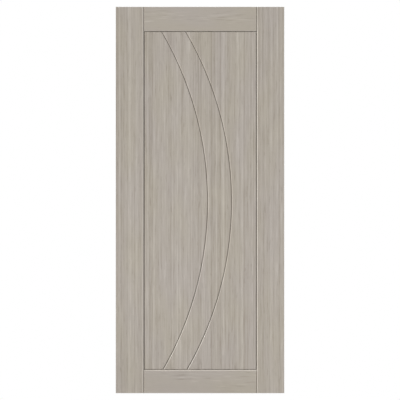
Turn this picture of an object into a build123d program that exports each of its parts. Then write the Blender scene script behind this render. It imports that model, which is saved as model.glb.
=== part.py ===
# Semi-solid core interior door leaf: wrapped stiles and rails around one grooved panel.
# Millimetres. X runs from the hinge edge to the lock edge, Y from front to back, Z up.
# The origin is on the hinge edge face, at the foot of the leaf and half way through its thickness.

import math
import os

from build123d import *

# Leaf
leaf_height = 1981.0
leaf_width = 864.0
leaf_thickness = 35.0

# Stiles and rails
hinge_stile_width = 144.5
lock_stile_width = 140.0
top_rail_width = 126.0
bottom_rail_width = 119.0
facing_thickness = 6.0
arris_round = 4.5
joint_gap = 1.0

# Edge bands on the two long edges
band_thickness = 1.5
band_round = 1.0

# Panel
panel_recess = 2.0
skin_thickness = 8.0
stile_gap = 5.0
rail_gap = 3.8
housing_depth = 10.0
housing_clearance = 1.0

# Arc grooves in both faces of the panel
groove_width = 8.0
groove_angle = 95.0
arc_count = 2
arc_rise = 233.0
arc_spacing = 123.0
arc_margin = 128.8
arc_drop = 5.5

# Core strips between the two skins
strip_count = 5
strip_width = 70.0

# Sizes that follow from the values above
core_thickness = leaf_thickness - 2 * facing_thickness
face_y = leaf_thickness / 2
core_y = core_thickness / 2
skin_y = face_y - panel_recess
strip_thickness = 2 * (skin_y - skin_thickness)
opening_left = hinge_stile_width
opening_right = leaf_width - lock_stile_width
opening_foot = bottom_rail_width
opening_head = leaf_height - top_rail_width
opening_width = opening_right - opening_left
opening_height = opening_head - opening_foot
opening_x = (opening_left + opening_right) / 2
opening_z = (opening_foot + opening_head) / 2
tongue_width = opening_width + 2 * (housing_depth - housing_clearance)
tongue_height = opening_height + 2 * (housing_depth - housing_clearance)
field_width = opening_width - 2 * stile_gap
field_height = opening_height - 2 * rail_gap
groove_depth = groove_width / 2 / math.tan(math.radians(groove_angle / 2))
arc_radius = (opening_height**2 / 4 + arc_rise**2) / (2 * arc_rise)
strip_height = opening_height + 2 * housing_depth
strip_pitch = (tongue_width - strip_width) / (strip_count - 1)

os.makedirs("parts", exist_ok=True)


def save(part, name):
    part.label = name
    export_step(part, f"parts/{name}.step")


# Stile cores: plain timber blocks that stop short of the joint to leave the panel housing
def stile_core(start_x, stile_width):
    with BuildPart() as core:
        with BuildSketch(Plane.XY):
            with Locations((start_x, 0)):
                Rectangle(
                    stile_width - band_thickness - housing_depth,
                    core_thickness,
                    align=(Align.MIN, Align.CENTER),
                )
        extrude(amount=leaf_height)
    return core.part


save(stile_core(band_thickness, hinge_stile_width), "hinge_stile_core")
save(stile_core(opening_right + housing_depth, lock_stile_width), "lock_stile_core")


# Stile facings: wrapped boards, rounded along the arris that faces the panel
def stile_facing(start_x, stile_width, side, inner_end):
    with BuildPart() as facing:
        with BuildSketch(Plane.XY):
            with Locations((start_x, side * (core_y + facing_thickness / 2))):
                Rectangle(
                    stile_width - band_thickness,
                    facing_thickness,
                    align=(Align.MIN, Align.CENTER),
                )
        extrude(amount=leaf_height)
        outer_arrises = facing.edges().filter_by(Axis.Z).sort_by(Axis.Y)
        outer_arrises = outer_arrises[-2:] if side > 0 else outer_arrises[:2]
        fillet(outer_arrises.sort_by(Axis.X)[inner_end], radius=arris_round)
    return facing.part


for side, face in ((-1, "front"), (1, "back")):
    save(stile_facing(band_thickness, hinge_stile_width, side, -1), f"hinge_stile_{face}_facing")
    save(stile_facing(opening_right, lock_stile_width, side, 0), f"lock_stile_{face}_facing")


# Edge bands over the full thickness of the leaf, rounded at both outer corners
def edge_band(start_x, outer_end):
    with BuildPart() as band:
        with BuildSketch(Plane.XY):
            with Locations((start_x, 0)):
                Rectangle(band_thickness, leaf_thickness, align=(Align.MIN, Align.CENTER))
        extrude(amount=leaf_height)
        fillet(band.edges().filter_by(Axis.Z).group_by(Axis.X)[outer_end], radius=band_round)
    return band.part


save(edge_band(0, 0), "hinge_edge_band")
save(edge_band(leaf_width - band_thickness, -1), "lock_edge_band")


# Rail cores: their ends run into the stile housings as stub tenons
def rail_core(foot_z, rail_width):
    with BuildPart() as core:
        with BuildSketch(Plane.XY.offset(foot_z)):
            with Locations((opening_x, 0)):
                Rectangle(opening_width + 2 * housing_depth, core_thickness)
        extrude(amount=rail_width - housing_depth)
    return core.part


save(rail_core(opening_head + housing_depth, top_rail_width), "top_rail_core")
save(rail_core(0, bottom_rail_width), "bottom_rail_core")


# Rail facings: cut square at both ends, rounded along the arris that faces the panel
def rail_facing(foot_z, rail_width, side, panel_end):
    with BuildPart() as facing:
        with BuildSketch(Plane.XY.offset(foot_z)):
            with Locations((opening_x, side * (core_y + facing_thickness / 2))):
                Rectangle(opening_width - 2 * joint_gap, facing_thickness)
        extrude(amount=rail_width)
        outer_arrises = facing.edges().filter_by(Axis.X).sort_by(Axis.Y)
        outer_arrises = outer_arrises[-2:] if side > 0 else outer_arrises[:2]
        fillet(outer_arrises.sort_by(Axis.Z)[panel_end], radius=arris_round)
    return facing.part


for side, face in ((-1, "front"), (1, "back")):
    save(rail_facing(opening_head, top_rail_width, side, 0), f"top_rail_{face}_facing")
    save(rail_facing(0, bottom_rail_width, side, -1), f"bottom_rail_{face}_facing")


# Panel skins: one sheet each, with a thin housed edge, a shadow gap all round and the arc grooves
def panel_skin(side):
    inner_face = (opening_x, side * (skin_y - skin_thickness), opening_z)
    inner_plane = Plane(inner_face, x_dir=(1, 0, 0), z_dir=(0, side, 0))
    with BuildPart() as skin:
        with BuildSketch(inner_plane):
            Rectangle(tongue_width, tongue_height)
        extrude(amount=skin_thickness - (facing_thickness - panel_recess))
        with BuildSketch(inner_plane):
            Rectangle(field_width, field_height)
        extrude(amount=skin_thickness)
        for arc in range(arc_count):
            apex_x = opening_right - arc_margin - arc * arc_spacing
            centre = (apex_x - arc_radius, 0, opening_z - arc_drop)
            with BuildSketch(Plane(centre, x_dir=(-1, 0, 0), z_dir=(0, 0, 1))):
                with BuildLine():
                    Polyline(
                        (arc_radius - groove_width, -side * (skin_y + groove_depth)),
                        (arc_radius + groove_width, -side * (skin_y + groove_depth)),
                        (arc_radius, -side * (skin_y - groove_depth)),
                        close=True,
                    )
                make_face()
            revolve(axis=Axis(centre, (0, 1, 0)), mode=Mode.SUBTRACT)
    return skin.part


save(panel_skin(-1), "front_panel_skin")
save(panel_skin(1), "back_panel_skin")

# Core strips: upright bars from rail core to rail core, with air between them
for strip in range(strip_count):
    strip_x = opening_x + (strip - (strip_count - 1) / 2) * strip_pitch
    with BuildPart() as core_strip:
        with BuildSketch(Plane.XY.offset(opening_z - strip_height / 2)):
            with Locations((strip_x, 0)):
                Rectangle(strip_width, strip_thickness)
        extrude(amount=strip_height)
    save(core_strip.part, f"core_strip_{strip + 1}")
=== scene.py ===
import bpy
import bmesh
import math
from mathutils import Matrix, Vector


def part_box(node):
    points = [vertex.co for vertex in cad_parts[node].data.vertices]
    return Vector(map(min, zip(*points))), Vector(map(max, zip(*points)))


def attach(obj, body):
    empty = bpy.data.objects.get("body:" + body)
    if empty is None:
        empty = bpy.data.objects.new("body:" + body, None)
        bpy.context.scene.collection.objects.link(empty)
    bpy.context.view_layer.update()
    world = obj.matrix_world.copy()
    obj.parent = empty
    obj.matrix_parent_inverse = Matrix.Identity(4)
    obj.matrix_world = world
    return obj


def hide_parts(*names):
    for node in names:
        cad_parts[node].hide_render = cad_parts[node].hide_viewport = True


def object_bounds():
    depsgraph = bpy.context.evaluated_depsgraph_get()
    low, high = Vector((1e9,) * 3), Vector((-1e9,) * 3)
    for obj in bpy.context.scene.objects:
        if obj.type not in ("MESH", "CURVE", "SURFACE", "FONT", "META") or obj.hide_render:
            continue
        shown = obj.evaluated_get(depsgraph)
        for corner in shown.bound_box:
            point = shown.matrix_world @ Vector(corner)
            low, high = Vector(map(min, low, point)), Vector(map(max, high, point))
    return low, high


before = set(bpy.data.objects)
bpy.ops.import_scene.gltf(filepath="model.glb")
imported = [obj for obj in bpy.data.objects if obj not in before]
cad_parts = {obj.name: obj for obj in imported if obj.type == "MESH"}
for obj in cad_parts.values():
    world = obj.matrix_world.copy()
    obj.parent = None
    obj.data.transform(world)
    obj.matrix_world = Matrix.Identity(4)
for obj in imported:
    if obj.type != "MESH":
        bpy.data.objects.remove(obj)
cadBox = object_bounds()
print("frame loaded:", len(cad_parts), "nodes")

scene = bpy.context.scene
scene.view_settings.view_transform = "Standard"

leafLow, leafHigh = (Vector(corner) for corner in cadBox)
leafMid = (leafLow + leafHigh) / 2
touching = 1e-5  # metres: closer than this counts as the same place
noiseReach = 0.2  # most of a noise lies within this of its middle


# small helpers for node trees
def startMaterial(name):
    mat = bpy.data.materials.new(name)
    mat.use_nodes = True
    return mat, mat.node_tree, mat.node_tree.nodes["Principled BSDF"]


def addNode(tree, kind, inputs=None, **settings):
    node = tree.nodes.new(kind)
    for key, value in settings.items():
        setattr(node, key, value)
    for key, value in (inputs or {}).items():
        if isinstance(value, bpy.types.NodeSocket):
            tree.links.new(value, node.inputs[key])
        else:
            node.inputs[key].default_value = value
    return node


def calc(tree, operation, *values):
    return addNode(tree, "ShaderNodeMath", dict(enumerate(values)), operation=operation).outputs[0]


def remap(tree, value, low, high, newLow, newHigh):
    return addNode(tree, "ShaderNodeMapRange", {
        "Value": value, "From Min": low, "From Max": high, "To Min": newLow, "To Max": newHigh}).outputs[0]


def objectCoords(tree):
    return addNode(tree, "ShaderNodeTexCoord").outputs["Object"]


def splitAxes(tree, vector):
    return addNode(tree, "ShaderNodeSeparateXYZ", {"Vector": vector}).outputs


# noise around zero whose blobs are about as big as cell, in metres along x, y and z
def stretchedNoise(tree, coords, cell, shift=(0, 0, 0), detail=0.0, rough=0.5):
    scale = tuple(1 / size for size in cell)
    placed = addNode(tree, "ShaderNodeMapping", {"Vector": coords, "Location": shift, "Scale": scale})
    noise = addNode(tree, "ShaderNodeTexNoise", {
        "Vector": placed.outputs[0], "Scale": 1.0, "Detail": detail, "Roughness": rough})
    return calc(tree, "SUBTRACT", noise.outputs["Fac"], 0.5)


# adds up parts by weight, starting from a middle tone of one half
def weighTone(tree, parts):
    tone = 0.5
    for part, weight in parts:
        tone = calc(tree, "MULTIPLY_ADD", part, weight, tone)
    return tone


# leaves out the weak middle of a noise, so that only its stronger marks are left
def strongMarks(tree, noise, calm):
    middle = addNode(tree, "ShaderNodeClamp", {"Value": noise, "Min": -calm, "Max": calm}).outputs[0]
    return calc(tree, "SUBTRACT", noise, middle)


def toneRamp(tree, value, stops):
    ramp = addNode(tree, "ShaderNodeValToRGB", {"Fac": value})
    elements = ramp.color_ramp.elements
    while len(elements) < len(stops):
        elements.new(0.5)
    for element, (position, colour) in zip(elements, stops):
        element.position = position
        element.color = (*colour, 1)
    return ramp.outputs["Color"]


def mixColours(tree, amount, first, second, how="MIX"):
    mix = addNode(tree, "ShaderNodeMix", {"Factor": amount}, data_type="RGBA", blend_type=how)
    for socket, value in ((mix.inputs[6], first), (mix.inputs[7], second)):  # the two colour sockets
        if isinstance(value, bpy.types.NodeSocket):
            tree.links.new(value, socket)
        else:
            socket.default_value = (*value, 1)
    return mix.outputs[2]


def meshMark(tree, name):
    return addNode(tree, "ShaderNodeAttribute", attribute_name=name).outputs["Fac"]


# sets what every finish here has: a colour, a roughness and a fine relief
def dressShader(tree, shader, colour, roughness, height, finish):
    bump = addNode(tree, "ShaderNodeBump", {
        "Height": height, "Strength": finish["bumpStrength"], "Distance": finish["bumpHeight"]})
    tree.links.new(colour, shader.inputs["Base Color"])
    tree.links.new(roughness, shader.inputs["Roughness"])
    tree.links.new(bump.outputs[0], shader.inputs["Normal"])


# 1 for what the camera sees, directly, in a reflection or through glass, and 0 for light that bounces
def seenByCamera(tree):
    rays = addNode(tree, "ShaderNodeLightPath").outputs
    seen = calc(tree, "MAXIMUM", rays["Is Camera Ray"], rays["Is Glossy Ray"])
    return calc(tree, "MAXIMUM", seen, rays["Is Transmission Ray"])


# decor film: long streaks, stronger in some areas, with dashes, ticks, fibres and pores along the grain
panelFilm = {
    "tones": ((0.18, (0.300, 0.264, 0.228)), (0.42, (0.372, 0.333, 0.295)),
              (0.58, (0.400, 0.361, 0.323)), (0.82, (0.470, 0.430, 0.391))),
    "streakWidth": 0.010, "streakLength": 6.0, "streakWeight": 1.60,
    "streakDetail": 2.0, "streakRough": 0.65,
    "areaWidth": 0.070, "areaLength": 1.6, "areaSpan": 0.15, "quiet": 0.65,  # streaks left in quiet areas
    "bandWidth": 0.090, "bandLength": 5.0, "bandWeight": 0.16,
    "warmWidth": 0.110, "warmLength": 0.350, "warmSpan": 0.16, "warmTint": (1.0, 1.0, 0.945),
    "dashWidth": 0.0075, "dashLength": 0.130, "dashWeight": 0.85, "dashCalm": 0.02,
    "dashStart": -0.02, "dashEnd": 0.12, "dashQuiet": 1.0,  # dashes left in quiet areas
    "tickWidth": 0.0060, "tickLength": 0.045, "tickStart": 0.21, "tickEnd": 0.28, "tickTone": 0.16,
    "fibreWidth": 0.0016, "fibreLength": 0.060, "fibreWeight": 0.20,
    "poreWidth": 0.0009, "poreLength": 0.022, "poreStart": 0.12, "poreEnd": 0.22, "poreTone": 0.10,
    "roughLow": 0.36, "roughHigh": 0.46, "bumpStrength": 0.25, "bumpHeight": 0.0002,
    "lacquer": 0.4, "lacquerRough": 0.28,
    "arrisHighlight": None, "arrisLeast": 0.6,  # painted highlight on arris crowns, and how much of it the weak spots get
    "shadeTint": (0.70, 0.69, 0.68), "shift": (9.35, 0.0, 9.7),
}
# stiles and rails get their arris crowns painted paler as a highlight, the rails more
stileFilm = dict(panelFilm, arrisHighlight=(0.500, 0.458, 0.405), shadeTint=None, shift=(2.2, 2.3, 5.5))
railFilm = dict(
    panelFilm, streakLength=0.9, streakWeight=0.10, areaWidth=0.045, areaLength=0.30, bandWeight=0.08,
    dashWidth=0.0050, dashLength=0.085, dashWeight=1.80, dashCalm=0.08, dashQuiet=0.10, tickTone=0.02,
    arrisHighlight=(0.570, 0.524, 0.465), shift=(2.6, 9.2, 7.7))
bandFilm = dict(panelFilm, roughHigh=0.44, bumpStrength=0.12, shadeTint=None, shift=(5.1, 2.2, 9.3))


def decorFilm(name, film, along="z"):
    mat, tree, shader = startMaterial(name)
    coords = objectCoords(tree)

    def grain(part, **more):
        width, length = film[part + "Width"], film[part + "Length"]
        cell = (width, width, length) if along == "z" else (length, width, width)
        return stretchedNoise(tree, coords, cell, film["shift"], **more)

    area = grain("area")
    busy = remap(tree, area, -film["areaSpan"], film["areaSpan"], film["quiet"], 1.0)
    streaks = grain("streak", detail=film["streakDetail"], rough=film["streakRough"])
    streaks = calc(tree, "MULTIPLY", streaks, busy)
    patches = remap(tree, area, film["dashStart"], film["dashEnd"], film["dashQuiet"], 1.0)
    dashes = strongMarks(tree, grain("dash", detail=1.0), film["dashCalm"])
    dashes = calc(tree, "MULTIPLY", dashes, patches)
    ticks = remap(tree, grain("tick"), film["tickStart"], film["tickEnd"], 0.0, 1.0)
    fibres = grain("fibre", detail=1.0)
    pores = remap(tree, grain("pore"), film["poreStart"], film["poreEnd"], 0.0, 1.0)
    tone = weighTone(tree, (
        (streaks, film["streakWeight"]), (grain("band"), film["bandWeight"]), (dashes, film["dashWeight"]),
        (ticks, -film["tickTone"]), (fibres, film["fibreWeight"]), (pores, -film["poreTone"])))
    colour = toneRamp(tree, tone, film["tones"])
    warmth = remap(tree, grain("warm", detail=1.0), -film["warmSpan"], film["warmSpan"], 0.0, 1.0)
    colour = mixColours(tree, warmth, colour, film["warmTint"], how="MULTIPLY")
    # painted highlight: the film is made paler on arris crowns the mesh marks, unevenly along the dashes
    if film["arrisHighlight"]:
        uneven = remap(tree, dashes, -noiseReach, noiseReach, film["arrisLeast"], 1.0)
        paintedHighlight = calc(tree, "MULTIPLY", meshMark(tree, "arris"), uneven)
        colour = mixColours(tree, paintedHighlight, colour, film["arrisHighlight"])
    # painted shade: the film is darkened where the mesh marks grooves, joint ends and the shadow gap
    if film["shadeTint"]:
        colour = mixColours(tree, meshMark(tree, "dustAndShade"), colour, film["shadeTint"], how="MULTIPLY")
    roughness = remap(tree, fibres, -noiseReach, noiseReach, film["roughHigh"], film["roughLow"])
    dressShader(tree, shader, colour, roughness, calc(tree, "SUBTRACT", fibres, pores), film)
    shader.inputs["Coat Weight"].default_value = film["lacquer"]
    shader.inputs["Coat Roughness"].default_value = film["lacquerRough"]
    return mat


# raw board at the head and foot of the facings, with the film showing as a thin line outside
rawBoard = {
    "tones": ((0.25, (0.300, 0.205, 0.120)), (0.75, (0.470, 0.345, 0.225))),
    "film": (0.386, 0.347, 0.300), "filmThickness": 0.0003,
    "fleckCell": 0.0007, "fleckWeight": 0.9, "cloudCell": 0.012, "cloudWeight": 0.7,
    "roughLow": 0.75, "roughHigh": 0.92, "bumpStrength": 0.5, "bumpHeight": 0.0002,
}


def boardEnd(name, board):
    mat, tree, shader = startMaterial(name)
    coords = objectCoords(tree)
    flecks = stretchedNoise(tree, coords, (board["fleckCell"],) * 3, detail=2.0)
    clouds = stretchedNoise(tree, coords, (board["cloudCell"],) * 3, detail=2.0)
    tone = weighTone(tree, ((flecks, board["fleckWeight"]), (clouds, board["cloudWeight"])))
    depth = calc(tree, "ABSOLUTE", splitAxes(tree, coords)["Y"])
    onFilm = calc(tree, "GREATER_THAN", depth, leafHigh.y - board["filmThickness"])
    colour = mixColours(tree, onFilm, toneRamp(tree, tone, board["tones"]), board["film"])
    roughness = remap(tree, flecks, -noiseReach, noiseReach, board["roughLow"], board["roughHigh"])
    dressShader(tree, shader, colour, roughness, flecks, board)
    return mat


# glued softwood core: rings around a pith that moves from one lamella to the next
coreTimber = {
    "tones": ((0.0, (0.620, 0.440, 0.250)), (0.55, (0.560, 0.375, 0.195)), (1.0, (0.330, 0.185, 0.080))),
    "lamella": 0.045, "lamellaStart": 0.020, "glue": (0.240, 0.160, 0.085), "glueWidth": 0.0004,
    "ringSpacing": 0.0032, "ringStretch": 0.06, "ringTone": 0.8, "baseTone": 0.12,
    "pithSpread": 0.16, "wobble": 1.4, "wobbleDetail": 2.0, "wobbleScale": 0.6,
    "fibre": (0.0010, 0.0010, 0.090), "fibreTone": 0.75,
    "roughLow": 0.62, "roughHigh": 0.80, "bumpStrength": 0.3, "bumpHeight": 0.0003,
}


def softwood(name, wood, along="z"):
    mat, tree, shader = startMaterial(name)
    axes = splitAxes(tree, objectCoords(tree))
    across, length = ("X", "Z") if along == "z" else ("Z", "X")

    # which lamella, where in it, and how far its pith lies to the side and behind
    lamella = calc(tree, "DIVIDE", calc(tree, "ADD", axes[across], wood["lamellaStart"]), wood["lamella"])
    place = calc(tree, "FRACT", lamella)
    number = calc(tree, "FLOOR", lamella)
    pick = addNode(tree, "ShaderNodeTexWhiteNoise", {"W": number}, noise_dimensions="1D")
    pith = splitAxes(tree, pick.outputs["Color"])
    aside = calc(tree, "MULTIPLY", pith["X"], wood["pithSpread"])
    ringX = calc(tree, "MULTIPLY_ADD", place, wood["lamella"], aside)
    ringY = calc(tree, "MULTIPLY_ADD", pith["Y"], wood["pithSpread"], axes["Y"])
    turned = addNode(tree, "ShaderNodeCombineXYZ", {"X": ringX, "Y": ringY, "Z": axes[length]}).outputs[0]

    stretch = (1, 1, wood["ringStretch"])
    stretched = addNode(tree, "ShaderNodeMapping", {"Vector": turned, "Scale": stretch}).outputs[0]
    ringScale = 2 * math.pi / 20 / wood["ringSpacing"]  # this texture turns 20 radians in a unit
    rings = addNode(tree, "ShaderNodeTexWave", {
        "Vector": stretched, "Scale": ringScale, "Distortion": wood["wobble"],
        "Detail": wood["wobbleDetail"], "Detail Scale": wood["wobbleScale"],
    }, wave_type="RINGS", rings_direction="Z", wave_profile="SAW")
    fibres = stretchedNoise(tree, turned, wood["fibre"], detail=2.0)
    tone = calc(tree, "MULTIPLY_ADD", rings.outputs["Fac"], wood["ringTone"], wood["baseTone"])
    tone = calc(tree, "MULTIPLY_ADD", fibres, wood["fibreTone"], tone)
    offMiddle = calc(tree, "ABSOLUTE", calc(tree, "SUBTRACT", place, 0.5))
    onGlue = calc(tree, "GREATER_THAN", offMiddle, 0.5 - wood["glueWidth"] / wood["lamella"])
    colour = mixColours(tree, onGlue, toneRamp(tree, tone, wood["tones"]), wood["glue"])
    roughness = remap(tree, tone, 0.0, 1.0, wood["roughHigh"], wood["roughLow"])
    dressShader(tree, shader, colour, roughness, tone, wood)
    return mat


# core strips: pressed chips of mixed tone, with fine dust between them
coreChip = {
    "tones": ((0.1, (0.270, 0.180, 0.095)), (0.5, (0.430, 0.310, 0.180)), (0.9, (0.620, 0.490, 0.320))),
    "chip": (0.0022, 0.0012, 0.0050), "chipWeight": 0.7, "baseTone": 0.15,
    "dustCell": 0.0009, "dustWeight": 0.5,
    "roughLow": 0.80, "roughHigh": 0.95, "bumpStrength": 0.6, "bumpHeight": 0.0004,
}


def chipboard(name, chip):
    mat, tree, shader = startMaterial(name)
    coords = objectCoords(tree)
    scale = tuple(1 / size for size in chip["chip"])
    placed = addNode(tree, "ShaderNodeMapping", {"Vector": coords, "Scale": scale}).outputs[0]
    cells = addNode(tree, "ShaderNodeTexVoronoi", {"Vector": placed, "Scale": 1.0}).outputs
    shade = addNode(tree, "ShaderNodeSeparateColor", {"Color": cells["Color"]}).outputs[0]
    dustAndShade = stretchedNoise(tree, coords, (chip["dustCell"],) * 3, detail=2.0)
    tone = calc(tree, "MULTIPLY_ADD", shade, chip["chipWeight"], chip["baseTone"])
    tone = calc(tree, "MULTIPLY_ADD", dustAndShade, chip["dustWeight"], tone)
    colour = toneRamp(tree, tone, chip["tones"])
    roughness = remap(tree, dustAndShade, -noiseReach, noiseReach, chip["roughLow"], chip["roughHigh"])
    dressShader(tree, shader, colour, roughness, cells["Distance"], chip)
    return mat


stileLaminate = decorFilm("stileLaminate", stileFilm)
railLaminate = decorFilm("railLaminate", railFilm, along="x")
panelLaminate = decorFilm("panelLaminate", panelFilm)
edgeDecor = decorFilm("edgeDecor", bandFilm)
rawEnds = boardEnd("rawBoardEnds", rawBoard)
uprightCore = softwood("uprightCoreTimber", coreTimber)
crossCore = softwood("crossCoreTimber", coreTimber, along="x")
chipCore = chipboard("coreChip", coreChip)
print("materials made:", len(bpy.data.materials))


# small helpers for meshes
def boardCorners(node):
    low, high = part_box(node)
    return Vector(low), Vector(high)


def startBoard(low, high):
    bm = bmesh.new()
    bm.verts.layers.float.new("arris")
    bm.verts.layers.float.new("dustAndShade")
    bmesh.ops.create_cube(bm, size=1)
    bmesh.ops.scale(bm, vec=high - low, verts=bm.verts)
    bmesh.ops.translate(bm, vec=(low + high) / 2, verts=bm.verts)
    return bm


# edges that lie in all the planes given
def edgesOn(bm, x=None, y=None, z=None):
    planes = [(axis, at) for axis, at in enumerate((x, y, z)) if at is not None]
    return [edge for edge in bm.edges
            if all(abs(vert.co[axis] - at) < touching for vert in edge.verts for axis, at in planes)]


# edges in the planes given that bound the shown face and its arris, not the glued face
def faceEdges(bm, side, x=None, z=None):
    depths = [vert.co.y for vert in bm.verts]
    glueY = max(depths) if side == "front" else min(depths)
    return [edge for edge in edgesOn(bm, x=x, z=z)
            if all(abs(vert.co.y - glueY) > touching for vert in edge.verts)]


def roundOff(bm, edges, radius, segments):
    rounded = bmesh.ops.bevel(bm, geom=edges, offset=radius, offset_type="OFFSET", segments=segments,
                              profile=0.5, affect="EDGES", material=-1)
    return rounded["verts"]


# marks the crown of a rounded arris for a painted highlight, fading away down its side
def markArrisHighlight(bm, verts, faceY, fade, onFace=False):
    paintedHighlight = bm.verts.layers.float["arris"]
    for vert in verts:
        sunk = abs(vert.co.y - faceY)
        vert[paintedHighlight] = max(0.0, 1.0 - sunk / fade) if onFace or sunk > touching else 0.0


# marks painted shade in the open joints at both ends of a rail, heavier towards the very end
def markJointShade(bm, verts, ends, reach, amount):
    dustAndShade = bm.verts.layers.float["dustAndShade"]
    for vert in verts:
        away = min(abs(vert.co.x - end) for end in ends)
        vert[dustAndShade] = amount * max(0.0, 1.0 - away / reach)


# faces that close the leaf's head and foot are cut board, not film
def markRawEnds(bm):
    for face in bm.faces:
        z = face.calc_center_median().z
        atEnd = min(abs(z - leafLow.z), abs(z - leafHigh.z)) < touching
        face.material_index = 1 if atEnd else 0


# smooth shading that keeps flat faces flat beside their rounded edges
evenShading = {"sharpAngle": 35, "faceWeight": 100}


def finishPiece(bm, name, node, materials):
    bmesh.ops.recalc_face_normals(bm, faces=bm.faces)
    for face in bm.faces:
        face.smooth = True
    mesh = bpy.data.meshes.new(name)
    bm.to_mesh(mesh)
    bm.free()
    mesh.set_sharp_from_angle(angle=math.radians(evenShading["sharpAngle"]))
    for mat in materials:
        mesh.materials.append(mat)
    piece = bpy.data.objects.new(name, mesh)
    scene.collection.objects.link(piece)
    shading = piece.modifiers.new("evenShading", "WEIGHTED_NORMAL")
    shading.mode = "FACE_AREA"
    shading.weight = evenShading["faceWeight"]
    shading.keep_sharp = True
    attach(piece, "root")
    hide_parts(node)


# stile facings: full height, arris next to the panel well rounded, the ends just eased
stileFacing = {
    "arrisRound": 0.0045, "arrisSegments": 10, "endEase": 0.0004, "endSegments": 2,
    "highlightDepth": 0.0045, "highlightWidth": {"hinge": 0.007, "lock": 0.0},  # painted highlight on arris and face
}
for stile in ("hinge", "lock"):
    for side in ("front", "back"):
        node = f"{stile}_stile_{side}_facing"
        low, high = boardCorners(node)
        innerX = high.x if stile == "hinge" else low.x
        outerY = low.y if side == "front" else high.y
        paintedHighlight = stileFacing["highlightWidth"][stile]
        bm = startBoard(low, high)
        # a band of painted highlight on the hinge stile's face, running into its arris
        if paintedHighlight:
            inwards = math.copysign(stileFacing["arrisRound"] + paintedHighlight, low.x + high.x - 2 * innerX)
            bmesh.ops.bisect_plane(bm, geom=[*bm.verts, *bm.edges, *bm.faces],
                                   plane_co=(innerX + inwards, 0, 0), plane_no=(1, 0, 0))
        crown = roundOff(bm, edgesOn(bm, x=innerX, y=outerY),
                         stileFacing["arrisRound"], stileFacing["arrisSegments"])
        markArrisHighlight(bm, crown, outerY, stileFacing["highlightDepth"], onFace=paintedHighlight > 0)
        roundOff(bm, faceEdges(bm, side, z=low.z) + faceEdges(bm, side, z=high.z),
                 stileFacing["endEase"], stileFacing["endSegments"])
        markRawEnds(bm)
        name = f"{stile}Stile{side.capitalize()}Face"
        finishPiece(bm, name, node, (stileLaminate, rawEnds))
print("stile facings made")

# rail facings: eased ends between the stiles, arris next to the panel well rounded
railFacing = {
    "arrisRound": 0.0045, "arrisSegments": 10, "highlightDepth": 0.0045,
    "endEase": 0.0022, "endSegments": 6, "jointShade": 1.0, "headEase": 0.0004, "headSegments": 2,
}
for rail in ("top", "bottom"):
    for side in ("front", "back"):
        node = f"{rail}_rail_{side}_facing"
        low, high = boardCorners(node)
        innerZ, outerZ = (low.z, high.z) if rail == "top" else (high.z, low.z)
        outerY = low.y if side == "front" else high.y
        bm = startBoard(low, high)
        crown = roundOff(bm, edgesOn(bm, y=outerY, z=innerZ),
                         railFacing["arrisRound"], railFacing["arrisSegments"])
        markArrisHighlight(bm, crown, outerY, railFacing["highlightDepth"])
        eased = roundOff(bm, faceEdges(bm, side, x=low.x) + faceEdges(bm, side, x=high.x),
                         railFacing["endEase"], railFacing["endSegments"])
        # painted shade on the eased ends, down in the joints
        markJointShade(bm, eased, (low.x, high.x), railFacing["endEase"], railFacing["jointShade"])
        roundOff(bm, faceEdges(bm, side, z=outerZ), railFacing["headEase"], railFacing["headSegments"])
        markRawEnds(bm)
        name = f"{rail}Rail{side.capitalize()}Face"
        finishPiece(bm, name, node, (railLaminate, rawEnds))
print("rail facings made")

# edge bands: thin strips with their two outer corners scraped round
edgeBand = {"cornerRound": 0.001, "cornerSegments": 5}
for stile in ("hinge", "lock"):
    node = f"{stile}_edge_band"
    low, high = boardCorners(node)
    outerX = low.x if stile == "hinge" else high.x
    bm = startBoard(low, high)
    roundOff(bm, edgesOn(bm, x=outerX, y=low.y) + edgesOn(bm, x=outerX, y=high.y),
             edgeBand["cornerRound"], edgeBand["cornerSegments"])
    finishPiece(bm, f"{stile}EdgeBand", node, (edgeDecor,))
print("edge bands made")

# panel skins: one sheet with two arc grooves, a rounded edge, a shadow gap and a housed tongue
panelSkin = {
    "stileGap": 0.005, "railGap": 0.0038, "edgeRound": 0.0015, "edgeSteps": 4, "rows": 160,
    "grooveWidth": 0.008, "grooveAngle": 95, "lipRound": 0.0008, "lipSteps": 3,
    "footRound": 0.0005, "footSteps": 2,
    "arcRise": 0.233, "arcSpacing": 0.123, "arcMargin": 0.1288, "arcDrop": 0.0055, "arcCount": 2,
    "grooveShade": 0.05, "upWallShade": 1.2,  # painted shade in the foot of a groove, and on walls that face up
    "gapShade": {"hinge": 0.0, "lock": 1.0, "head": 0.8, "foot": 0.1},  # and painted shade on each side of the shadow gap, set side by side
}
openingLeft = boardCorners("hinge_stile_front_facing")[1].x
openingRight = boardCorners("lock_stile_front_facing")[0].x
openingFoot = boardCorners("bottom_rail_front_facing")[1].z
openingHead = boardCorners("top_rail_front_facing")[0].z
openingMid = Vector(((openingLeft + openingRight) / 2, 0, (openingFoot + openingHead) / 2))
gapFloor = boardCorners("hinge_stile_core")[1].y


# one groove from lip to lip: (offset from the arc, depth), both lips and the foot rounded
def grooveStops(skin):
    slope = math.radians(90 - skin["grooveAngle"] / 2)
    half = skin["grooveWidth"] / 2
    lip, foot = skin["lipRound"], skin["footRound"]
    lipStart = -half - lip * math.tan(slope / 2)
    footMid = half * math.tan(slope) - foot / math.cos(slope)
    stops = []
    for step in range(skin["lipSteps"] + 1):
        turn = slope * step / skin["lipSteps"]
        stops.append((lipStart + lip * math.sin(turn), lip * (1 - math.cos(turn))))
    for step in range(skin["footSteps"] + 1):
        turn = slope * (1 - step / skin["footSteps"])
        stops.append((-foot * math.sin(turn), footMid + foot * math.cos(turn)))
    return stops + [(-offset, depth) for offset, depth in reversed(stops[:-1])]


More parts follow.
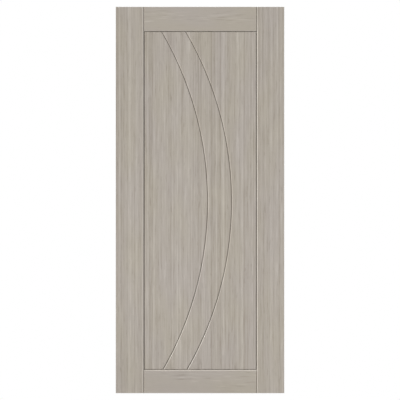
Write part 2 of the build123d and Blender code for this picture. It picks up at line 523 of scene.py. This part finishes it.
# rounded edge: (distance in from the edge, depth)
def edgeStops(skin):
    radius, steps = skin["edgeRound"], skin["edgeSteps"]
    turns = [math.pi / 2 * step / steps for step in range(steps + 1)]
    return [(radius * (1 - math.cos(turn)), radius * (1 - math.sin(turn))) for turn in turns]


def shapeSkin(skin, faceY, backY, floorY):
    inward = 1 if backY > faceY else -1
    left, right = openingLeft + skin["stileGap"], openingRight - skin["stileGap"]
    foot, head = openingFoot + skin["railGap"], openingHead - skin["railGap"]
    rise = skin["arcRise"]
    arcRadius = ((openingHead - openingFoot) ** 2 / 4 + rise ** 2) / (2 * rise)
    arcMidZ = openingMid.z - skin["arcDrop"]
    edge, groove = edgeStops(skin), grooveStops(skin)
    grooveDepth = max(depth for offset, depth in groove)

    # columns: (centre of the arc or None, place or distance from that centre, depth); rows: (height, depth)
    columns = [(None, left + inset, depth) for inset, depth in edge]
    for arc in reversed(range(skin["arcCount"])):
        centreX = openingRight - skin["arcMargin"] - arc * skin["arcSpacing"] - arcRadius
        columns += [(centreX, arcRadius + offset, depth) for offset, depth in groove]
    columns += [(None, right - inset, depth) for inset, depth in reversed(edge)]
    rows = [(foot + inset, depth) for inset, depth in edge]
    low, high = foot + skin["edgeRound"], head - skin["edgeRound"]
    rows += [(low + (high - low) * step / skin["rows"], 0) for step in range(1, skin["rows"])]
    rows += [(head - inset, depth) for inset, depth in reversed(edge)]

    # a flat grid, then every line of it pulled to its column, row and depth, with painted shade in the
    # grooves
    bm = bmesh.new()
    dustAndShade = bm.verts.layers.float.new("dustAndShade")
    lastColumn, lastRow = len(columns) - 1, len(rows) - 1
    bmesh.ops.create_grid(bm, x_segments=lastColumn, y_segments=lastRow, size=0.5)
    for vert in bm.verts:
        centreX, reach, columnDepth = columns[round((vert.co.x + 0.5) * lastColumn)]
        z, rowDepth = rows[round((vert.co.y + 0.5) * lastRow)]
        x = reach if centreX is None else centreX + math.sqrt(reach ** 2 - (z - arcMidZ) ** 2)
        vert.co = (x, faceY + inward * max(columnDepth, rowDepth), z)
        if centreX is not None and columnDepth > 0:
            # walls that face up are painted darker, holding back the light they get from above
            tilt = (arcMidZ - z) / reach
            facesUp = tilt if reach >= arcRadius else -tilt
            wallShade = skin["upWallShade"] * max(0.0, facesUp)
            vert[dustAndShade] = skin["grooveShade"] * columnDepth / grooveDepth + wallShade

    # down to the floor of the shadow gap, out to the rim of the tongue, back to the inner face
    def pullRim(scale, about):
        rim = [edge for edge in bm.edges if edge.is_boundary]
        fresh = bmesh.ops.extrude_edge_only(bm, edges=rim)["geom"]
        verts = [item for item in fresh if isinstance(item, bmesh.types.BMVert)]
        bmesh.ops.scale(bm, vec=scale, space=Matrix.Translation(-about), verts=verts)
        for vert in verts:
            # each side of the shadow gap gets its own amount of painted shade
            across, up = vert.co.x - openingMid.x, vert.co.z - openingMid.z
            if abs(up) > (high - low) / 2:
                border = "head" if up > 0 else "foot"
            else:
                border = "lock" if across > 0 else "hinge"
            vert[dustAndShade] = skin["gapShade"][border]

    tongueLow, tongueHigh = boardCorners("front_panel_skin")
    tongue = tongueHigh - tongueLow
    pullRim((1, 0, 1), Vector((0, floorY, 0)))
    pullRim((tongue.x / (right - left), 1, tongue.z / (head - foot)), openingMid)
    pullRim((1, 0, 1), Vector((0, backY, 0)))
    bmesh.ops.holes_fill(bm, edges=[edge for edge in bm.edges if edge.is_boundary], sides=0)
    return bm


for side in ("front", "back"):
    node = f"{side}_panel_skin"
    low, high = boardCorners(node)
    faceY, backY, floorY = (low.y, high.y, -gapFloor) if side == "front" else (high.y, low.y, gapFloor)
    bm = shapeSkin(panelSkin, faceY, backY, floorY)
    finishPiece(bm, f"{side}PanelSkin", node, (panelLaminate,))
print("panel skins made")

# cores keep their CAD shapes and only get their finish
coreFinish = {"stile_core": uprightCore, "rail_core": crossCore, "core_strip": chipCore}
for name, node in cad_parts.items():
    for part, mat in coreFinish.items():
        if part in name:
            node.data.materials.clear()
            node.data.materials.append(mat)
print("cores finished")

# camera: square on to the front, no perspective, the leaf in the middle
camera = {"distance": 4.0, "clipEnd": 50.0, "metresPerPixel": 0.005128, "pixels": 400}
cameraData = bpy.data.cameras.new("frontCamera")
cameraData.type = "ORTHO"
cameraData.ortho_scale = camera["metresPerPixel"] * camera["pixels"]
cameraData.clip_end = camera["clipEnd"]
cameraObject = bpy.data.objects.new("frontCamera", cameraData)
cameraObject.location = (leafMid.x, -camera["distance"], leafMid.z)
cameraObject.rotation_euler = Vector((0, 1, 0)).to_track_quat("-Z", "Y").to_euler()
scene.collection.objects.link(cameraObject)
scene.camera = cameraObject

# light: soft suns from the left, from above and a weak one from the right, with an even sky
light = {
    "suns": {"key": ((-1.7, -1.0, 1.0), 0.62), "left": ((-1.25, -1.0, 0.0), 0.09),
             "above": ((0.0, -1.0, 1.0), 0.09), "right": ((0.7, -1.0, 0.0), 0.04)},
    "skyLevel": 0.03, "softness": 0.28, "backLift": 0.6,  # the same suns behind, a little lower
}
for name, (direction, level) in light["suns"].items():
    for side, turn, lift in (("Front", 1, 1.0), ("Back", -1, light["backLift"])):
        towards = Vector((turn * direction[0], turn * direction[1], lift * direction[2])).normalized()
        sunData = bpy.data.lights.new(name + side + "Sun", "SUN")
        sunData.energy = level * math.pi / abs(towards.y)  # level is what reaches an upright face
        sunData.angle = light["softness"]
        sun = bpy.data.objects.new(name + side + "Sun", sunData)
        sun.rotation_euler = towards.to_track_quat("Z", "Y").to_euler()
        scene.collection.objects.link(sun)

world = bpy.data.worlds.new("studio")
scene.world = world
world.use_nodes = True
tree = world.node_tree
tree.nodes.clear()
seen = seenByCamera(tree)
sky = addNode(tree, "ShaderNodeBackground", {"Color": (1, 1, 1, 1), "Strength": light["skyLevel"]})
white = addNode(tree, "ShaderNodeBackground", {"Color": (1, 1, 1, 1), "Strength": 1.0})
pick = addNode(tree, "ShaderNodeMixShader", {0: seen, 1: sky.outputs[0], 2: white.outputs[0]})
addNode(tree, "ShaderNodeOutputWorld", {"Surface": pick.outputs[0]})

# floor: plain and pale, it takes the shadow, and throws only a little light back up
floor = {"size": 8.0, "seen": (0.92, 0.92, 0.92, 1), "bounce": (0.35, 0.35, 0.35, 1)}
bm = bmesh.new()
bmesh.ops.create_grid(bm, x_segments=1, y_segments=1, size=floor["size"] / 2)
bmesh.ops.translate(bm, vec=(leafMid.x, 0, leafLow.z), verts=bm.verts)
floorMesh = bpy.data.meshes.new("floor")
bm.to_mesh(floorMesh)
bm.free()
floorMat, tree, shader = startMaterial("floorPaint")
tree.nodes.remove(shader)
seen = seenByCamera(tree)
bounce = addNode(tree, "ShaderNodeBsdfDiffuse", {"Color": floor["bounce"]})
paint = addNode(tree, "ShaderNodeBsdfDiffuse", {"Color": floor["seen"]})
pick = addNode(tree, "ShaderNodeMixShader", {0: seen, 1: bounce.outputs[0], 2: paint.outputs[0]})
tree.links.new(pick.outputs[0], tree.nodes["Material Output"].inputs["Surface"])
floorMesh.materials.append(floorMat)
floorObject = bpy.data.objects.new("floor", floorMesh)
scene.collection.objects.link(floorObject)
print("camera, light and floor set")
